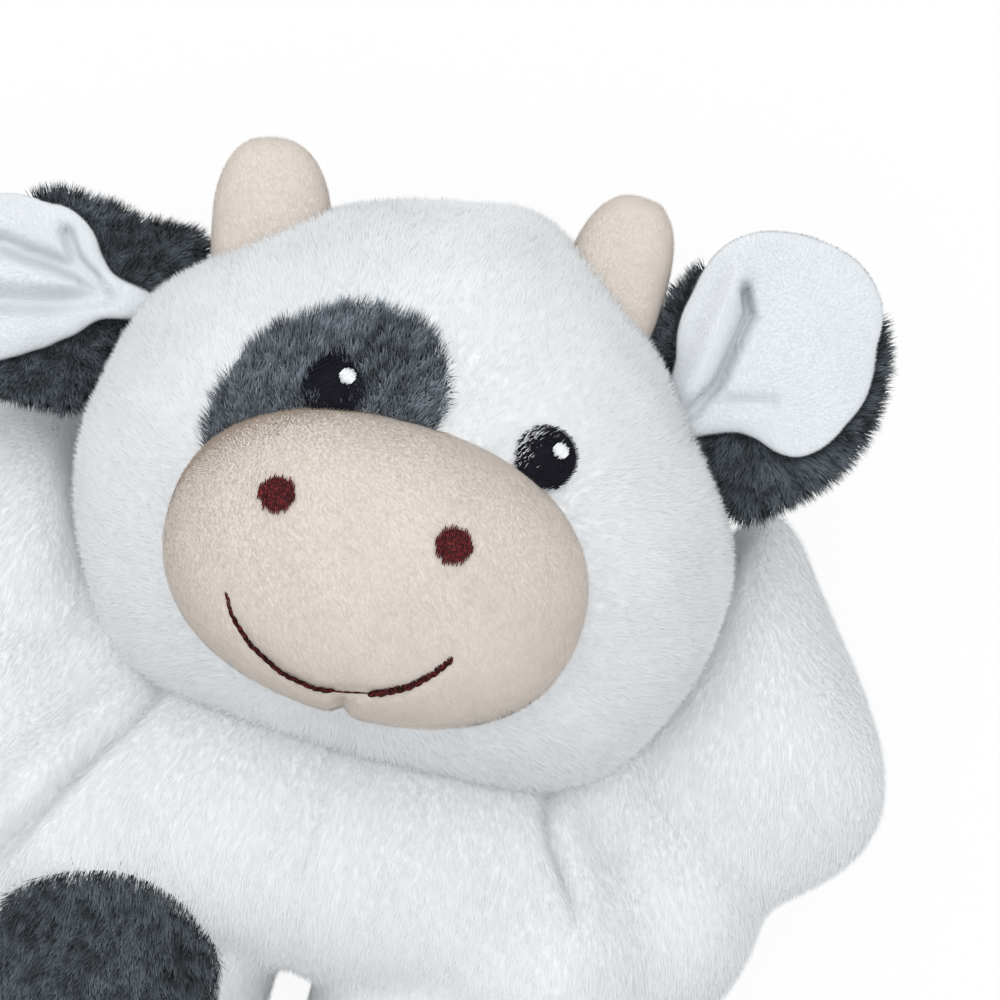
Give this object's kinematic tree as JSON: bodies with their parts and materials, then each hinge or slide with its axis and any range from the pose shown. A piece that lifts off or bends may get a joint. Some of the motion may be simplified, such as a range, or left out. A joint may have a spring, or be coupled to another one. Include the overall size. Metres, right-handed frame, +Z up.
{
  "type": "plush cow rattle",
  "caption": "Stuffed cow soft toy lying on its back, with horns, hinged ears, jointed arms and legs, and a ball rattle in a capsule in its belly.",
  "frame": {"origin": "the middle of the flat that the back of the body rests on", "axes": "+Z up through the face and belly, +Y towards the crown of the head, +X towards the toy's own left hand"},
  "size_m": [0.1851, 0.1991, 0.1055],
  "materials": {
    "white_fur": "soft dense pile, off-white",
    "dark_fur": "slate pile with paler tips",
    "peach_velour": "short peach velour",
    "white_velour": "short white velour",
    "fibre": "loose polyester fibre",
    "maroon_thread": "satin stitch, maroon",
    "white_thread": "pale glint",
    "black_thread": "satin stitch, black",
    "capsule_plastic": "clear-white moulded plastic",
    "ball_plastic": "moulded beads"
  },
  "bodies": {
    "torso": {"body_cover": "white_fur", "belly_filling_front": "fibre", "belly_filling_back": "fibre", "capsule_front": "capsule_plastic", "capsule_back": "capsule_plastic"},
    "head": {"head_cover": "white_fur", "head_filling": "fibre", "muzzle": "peach_velour", "horn_left": "peach_velour", "horn_right": "peach_velour", "eye_patch": "dark_fur", "eye_left": "black_thread", "glint_left": "white_thread", "eye_right": "black_thread", "glint_right": "white_thread", "nostril_left": "maroon_thread", "nostril_right": "maroon_thread", "mouth_stitch": "maroon_thread"},
    "ear_left": {"ear_left_back": "dark_fur", "ear_left_lining": "white_velour"},
    "ear_right": {"ear_right_back": "dark_fur", "ear_right_lining": "white_velour"},
    "arm_left": {"arm_left": "white_fur"},
    "arm_right": {"arm_right": "white_fur"},
    "leg_left": {"leg_left": "white_fur"},
    "leg_right": {"leg_right": "white_fur", "leg_spot": "dark_fur"},
    "ball_1": {"rattle_ball_1": "ball_plastic"},
    "ball_2": {"rattle_ball_2": "ball_plastic"},
    "ball_3": {"rattle_ball_3": "ball_plastic"},
    "ball_4": {"rattle_ball_4": "ball_plastic"},
    "ball_5": {"rattle_ball_5": "ball_plastic"}
  },
  "joints": [
    {"name": "neck_turn", "type": "hinge", "parent": "torso", "child": "head", "pos_m": [0, 0.017, 0.036], "axis": [0, 1, 0], "range_deg": [-15, 15], "stiffness_Nm_per_rad": 0.4},
    {"name": "ear_left_fold", "type": "hinge", "parent": "head", "child": "ear_left", "pos_m": [0.041, 0.089, 0.047], "axis": [0.6428, -0.766, 0], "range_deg": [-15, 15], "stiffness_Nm_per_rad": 0.05},
    {"name": "ear_right_fold", "type": "hinge", "parent": "head", "child": "ear_right", "pos_m": [-0.054, 0.0785, 0.047], "axis": [0.1392, 0.9903, 0], "range_deg": [-15, 15], "stiffness_Nm_per_rad": 0.05},
    {"name": "shoulder_left_lift", "type": "hinge", "parent": "torso", "child": "arm_left", "pos_m": [0.043, 0.017, 0.024], "axis": [0.7071, 0, -0.7071], "range_deg": [0, 20]},
    {"name": "shoulder_right_lift", "type": "hinge", "parent": "torso", "child": "arm_right", "pos_m": [-0.043, 0.017, 0.024], "axis": [0.7071, 0, 0.7071], "range_deg": [0, 20]},
    {"name": "hip_left_bend", "type": "hinge", "parent": "torso", "child": "leg_left", "pos_m": [0.046, -0.018, 0.02638], "axis": [-1, 0, 0], "range_deg": [0, 40]},
    {"name": "hip_right_bend", "type": "hinge", "parent": "torso", "child": "leg_right", "pos_m": [-0.046, -0.018, 0.02638], "axis": [-1, 0, 0], "range_deg": [0, 40]},
    {"name": "ball_1_hop", "type": "slide", "parent": "torso", "child": "ball_1", "axis": [0, 0, 1], "range_m": [0, 0.0185]},
    {"name": "ball_2_hop", "type": "slide", "parent": "torso", "child": "ball_2", "axis": [0, 0, 1], "range_m": [0, 0.0145]},
    {"name": "ball_3_hop", "type": "slide", "parent": "torso", "child": "ball_3", "axis": [0, 0, 1], "range_m": [0, 0.0145]},
    {"name": "ball_4_hop", "type": "slide", "parent": "torso", "child": "ball_4", "axis": [0, 0, 1], "range_m": [0, 0.0145]},
    {"name": "ball_5_hop", "type": "slide", "parent": "torso", "child": "ball_5", "axis": [0, 0, 1], "range_m": [0, 0.0145]}
  ]
}
